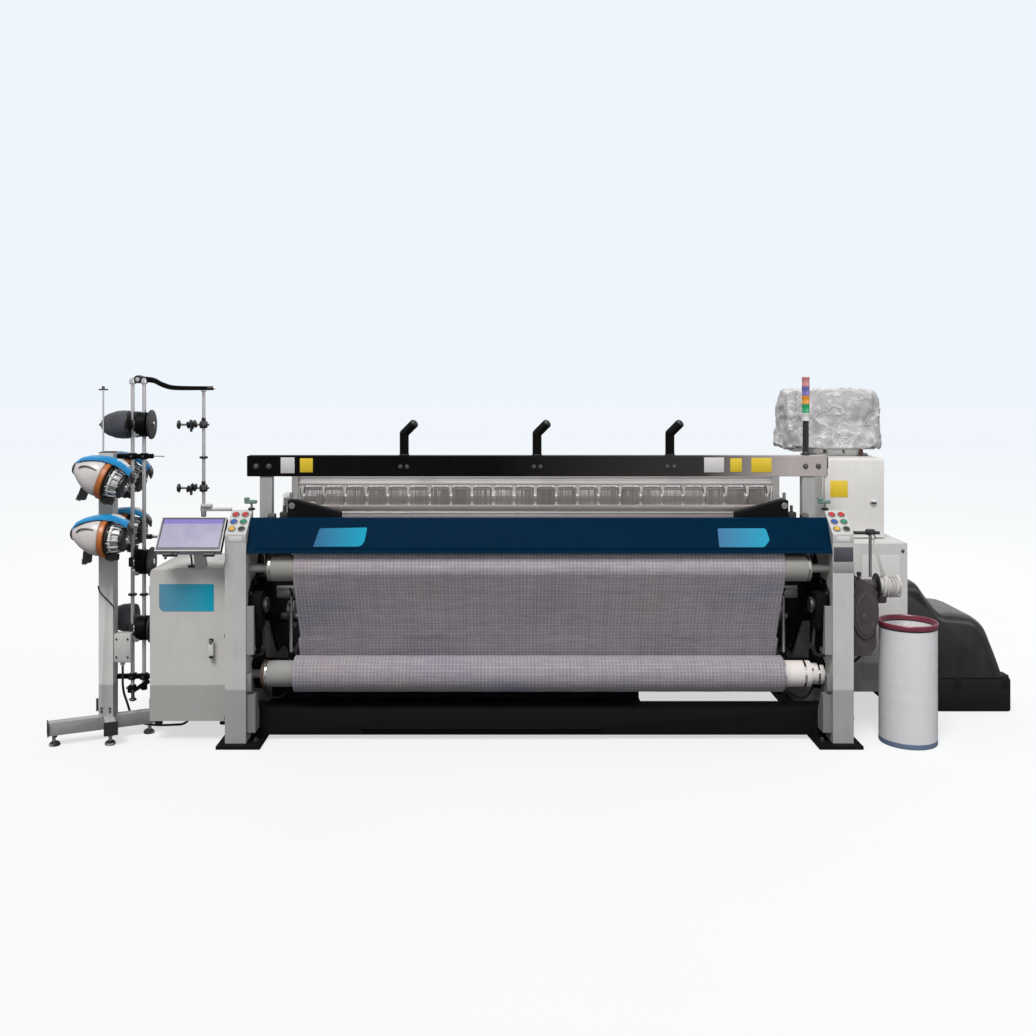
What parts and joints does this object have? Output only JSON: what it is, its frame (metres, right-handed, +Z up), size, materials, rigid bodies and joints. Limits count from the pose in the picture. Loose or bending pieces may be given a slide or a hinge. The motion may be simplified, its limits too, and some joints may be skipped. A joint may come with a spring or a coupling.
{
  "type": "power loom",
  "caption": "Shuttleless wide power loom with cloth roll, warp beam, healds, reed, push-button consoles, control cabinet, weft feeder stand, drive housing and waste can.",
  "frame": {"origin": "centre of the four anchor holes in the foot plates, at floor level", "axes": "+X to the weaver's right, along the loom's width; -Y towards the weaver; +Z up"},
  "size_m": [4.6606, 1.6899, 1.7],
  "materials": {
    "black_paint": "semi-gloss black enamel",
    "grey_paint": "light grey textured enamel",
    "navy_paint": "deep navy enamel, satin",
    "cabinet_grey": "light grey powder coat",
    "box_white": "warm white powder coat",
    "bare_steel": "turned and ground",
    "bright_steel": "plated rods",
    "alloy": "satin anodised",
    "roller_cover": "cream covering, fine grip texture",
    "tube_grey": "grey tube with a plated chuck",
    "checked_cloth": "fine blue and grey check, plain weave",
    "warp_yarn": "parallel cotton ends",
    "dark_yarn": "wound yarn",
    "cotton_fluff": "loose selvage waste",
    "black_plastic": "moulded black plastic",
    "hood_plastic": "glossy black moulding",
    "dark_casing": "dark grey-brown casing",
    "screen_case": "grey bezel with a glass face",
    "feeder_grey": "light grey moulded housing",
    "feeder_orange": "orange winding disc",
    "cable_rubber": "black cable sheath",
    "tower_plastic": "stacked coloured lenses on a black pole",
    "unit_white": "white covers",
    "clear_film": "clear crumpled film",
    "can_white": "white wall, red rim, blue foot",
    "red_button": "red push button",
    "blue_button": "blue push button",
    "green_button": "green push button",
    "yellow_button": "yellow push button",
    "black_button": "black push button"
  },
  "bodies": {
    "loom": {"base_frame": "black_paint", "left_side_frame": "grey_paint", "right_side_frame": "grey_paint", "top_beam": "black_paint", "upper_supports": "grey_paint", "bent_arms": "black_paint", "front_cover": "navy_paint", "breast_beam": "bare_steel", "temple_covers": "black_plastic", "consoles": "grey_paint", "cloth_web": "checked_cloth", "warp_sheet": "warp_yarn", "drop_wire_bank": "bare_steel", "control_cabinet": "cabinet_grey", "stand_frame": "grey_paint", "stand_rods": "bright_steel", "yarn_cones": "dark_yarn", "feeder_bodies": "feeder_grey", "stand_cable": "cable_rubber", "drive_housing": "cabinet_grey", "control_box": "box_white", "signal_tower": "tower_plastic", "wrapped_unit": "unit_white", "plastic_film": "clear_film", "winder_housing": "dark_casing", "waste_can": "can_white", "waste_fluff": "cotton_fluff", "motor_hood": "hood_plastic"},
    "take_up_roller": {"take_up_roller": "roller_cover"},
    "cloth_roll": {"cloth_tube": "tube_grey", "cloth_winding": "checked_cloth"},
    "front_heald": {"front_heald_frame": "alloy"},
    "rear_heald": {"rear_heald_frame": "alloy"},
    "sley": {"sley": "alloy", "reed": "bare_steel"},
    "main_shaft": {"main_shaft": "bare_steel"},
    "warp_beam": {"warp_beam": "alloy", "warp_winding": "warp_yarn"},
    "back_rest_roller": {"back_rest_roller": "bare_steel"},
    "cabinet_door": {"cabinet_door": "cabinet_grey"},
    "cabinet_handle": {"cabinet_handle": "black_plastic"},
    "touch_screen": {"touch_screen": "screen_case"},
    "control_box_door": {"control_box_door": "box_white"},
    "winder_spool": {"winder_spool": "black_plastic"},
    "feeder_ring_1": {"feeder_ring_1": "feeder_orange"},
    "feeder_ring_2": {"feeder_ring_2": "feeder_orange"},
    "feeder_ring_3": {"feeder_ring_3": "feeder_orange"},
    "feeder_ring_4": {"feeder_ring_4": "feeder_orange"},
    "left_button_1": {"left_button_1": "yellow_button"},
    "left_button_2": {"left_button_2": "black_button"},
    "left_button_3": {"left_button_3": "blue_button"},
    "left_button_4": {"left_button_4": "green_button"},
    "left_button_5": {"left_button_5": "red_button"},
    "left_button_6": {"left_button_6": "red_button"},
    "right_button_1": {"right_button_1": "yellow_button"},
    "right_button_2": {"right_button_2": "black_button"},
    "right_button_3": {"right_button_3": "blue_button"},
    "right_button_4": {"right_button_4": "green_button"},
    "right_button_5": {"right_button_5": "red_button"},
    "right_button_6": {"right_button_6": "red_button"}
  },
  "joints": [
    {"name": "warp_beam_turn", "type": "hinge", "parent": "loom", "child": "warp_beam", "pos_m": [0, 0.48, 0.53], "axis": [1, 0, 0], "continuous": true},
    {"name": "take_up_turn", "type": "hinge", "parent": "loom", "child": "take_up_roller", "pos_m": [0, -0.68, 0.805], "axis": [1, 0, 0], "continuous": true},
    {"name": "cloth_roll_turn", "type": "hinge", "parent": "loom", "child": "cloth_roll", "pos_m": [0, -0.62, 0.3], "axis": [1, 0, 0], "continuous": true},
    {"name": "back_rest_turn", "type": "hinge", "parent": "loom", "child": "back_rest_roller", "pos_m": [0, 0.64, 0.945], "axis": [1, 0, 0], "continuous": true},
    {"name": "main_shaft_turn", "type": "hinge", "parent": "loom", "child": "main_shaft", "pos_m": [0, 0.02, 0.42], "axis": [1, 0, 0], "continuous": true},
    {"name": "sley_rock", "type": "hinge", "parent": "loom", "child": "sley", "pos_m": [0, -0.4, 0.64], "axis": [1, 0, 0], "range_deg": [-16, 0]},
    {"name": "front_heald_lift", "type": "slide", "parent": "loom", "child": "front_heald", "axis": [0, 0, 1], "range_m": [-0.045, 0.045]},
    {"name": "rear_heald_lift", "type": "slide", "parent": "loom", "child": "rear_heald", "axis": [0, 0, 1], "range_m": [-0.045, 0.045]},
    {"name": "cabinet_door_swing", "type": "hinge", "parent": "loom", "child": "cabinet_door", "pos_m": [-1.8, -0.69, 0.45], "axis": [0, 0, -1], "range_deg": [0, 110]},
    {"name": "cabinet_handle_turn", "type": "hinge", "parent": "cabinet_door", "child": "cabinet_handle", "pos_m": [-1.5125, -0.69, 0.47], "axis": [0, 1, 0], "range_deg": [0, 90]},
    {"name": "screen_tilt", "type": "hinge", "parent": "loom", "child": "touch_screen", "pos_m": [-1.5775, -0.68209, 0.91494], "axis": [1, 0, 0], "range_deg": [-12, 12]},
    {"name": "control_box_door_swing", "type": "hinge", "parent": "loom", "child": "control_box_door", "pos_m": [1.447, -0.27, 1.08], "axis": [0, 0, -1], "range_deg": [0, 90]},
    {"name": "winder_spool_turn", "type": "hinge", "parent": "loom", "child": "winder_spool", "pos_m": [1.6, -0.655, 0.716], "axis": [1, 0, 0], "continuous": true},
    {"name": "feeder_ring_1_turn", "type": "hinge", "parent": "loom", "child": "feeder_ring_1", "pos_m": [-1.978, -0.76, 1.22], "axis": [0.9397, 0, -0.342], "continuous": true},
    {"name": "feeder_ring_2_turn", "type": "hinge", "parent": "loom", "child": "feeder_ring_2", "pos_m": [-1.978, -0.5, 1.22], "axis": [0.9397, 0, -0.342], "continuous": true},
    {"name": "feeder_ring_3_turn", "type": "hinge", "parent": "loom", "child": "feeder_ring_3", "pos_m": [-1.978, -0.76, 0.957], "axis": [0.9962, 0, -0.0872], "continuous": true},
    {"name": "feeder_ring_4_turn", "type": "hinge", "parent": "loom", "child": "feeder_ring_4", "pos_m": [-1.978, -0.5, 0.957], "axis": [0.9962, 0, -0.0872], "continuous": true},
    {"name": "left_button_1_press", "type": "slide", "parent": "loom", "child": "left_button_1", "axis": [0, 0.5818, -0.8133], "range_m": [0, 0.003], "stiffness_N_per_m": 800, "springref_m": -0.002},
    {"name": "left_button_2_press", "type": "slide", "parent": "loom", "child": "left_button_2", "axis": [0, 0.5818, -0.8133], "range_m": [0, 0.003], "stiffness_N_per_m": 800, "springref_m": -0.002},
    {"name": "left_button_3_press", "type": "slide", "parent": "loom", "child": "left_button_3", "axis": [0, 0.5818, -0.8133], "range_m": [0, 0.003], "stiffness_N_per_m": 800, "springref_m": -0.002},
    {"name": "left_button_4_press", "type": "slide", "parent": "loom", "child": "left_button_4", "axis": [0, 0.5818, -0.8133], "range_m": [0, 0.003], "stiffness_N_per_m": 800, "springref_m": -0.002},
    {"name": "left_button_5_press", "type": "slide", "parent": "loom", "child": "left_button_5", "axis": [0, 0.5818, -0.8133], "range_m": [0, 0.003], "stiffness_N_per_m": 800, "springref_m": -0.002},
    {"name": "left_button_6_press", "type": "slide", "parent": "loom", "child": "left_button_6", "axis": [0, 0.5818, -0.8133], "range_m": [0, 0.003], "stiffness_N_per_m": 800, "springref_m": -0.002},
    {"name": "right_button_1_press", "type": "slide", "parent": "loom", "child": "right_button_1", "axis": [0, 0.5818, -0.8133], "range_m": [0, 0.003], "stiffness_N_per_m": 800, "springref_m": -0.002},
    {"name": "right_button_2_press", "type": "slide", "parent": "loom", "child": "right_button_2", "axis": [0, 0.5818, -0.8133], "range_m": [0, 0.003], "stiffness_N_per_m": 800, "springref_m": -0.002},
    {"name": "right_button_3_press", "type": "slide", "parent": "loom", "child": "right_button_3", "axis": [0, 0.5818, -0.8133], "range_m": [0, 0.003], "stiffness_N_per_m": 800, "springref_m": -0.002},
    {"name": "right_button_4_press", "type": "slide", "parent": "loom", "child": "right_button_4", "axis": [0, 0.5818, -0.8133], "range_m": [0, 0.003], "stiffness_N_per_m": 800, "springref_m": -0.002},
    {"name": "right_button_5_press", "type": "slide", "parent": "loom", "child": "right_button_5", "axis": [0, 0.5818, -0.8133], "range_m": [0, 0.003], "stiffness_N_per_m": 800, "springref_m": -0.002},
    {"name": "right_button_6_press", "type": "slide", "parent": "loom", "child": "right_button_6", "axis": [0, 0.5818, -0.8133], "range_m": [0, 0.003], "stiffness_N_per_m": 800, "springref_m": -0.002}
  ],
  "couplings": [
    {"joint": "take_up_turn", "follows": "warp_beam_turn", "ratio": 4.6667},
    {"joint": "cloth_roll_turn", "follows": "warp_beam_turn", "ratio": -3.3735},
    {"joint": "back_rest_turn", "follows": "warp_beam_turn", "ratio": 4.6667},
    {"joint": "rear_heald_lift", "follows": "front_heald_lift", "ratio": -1}
  ]
}
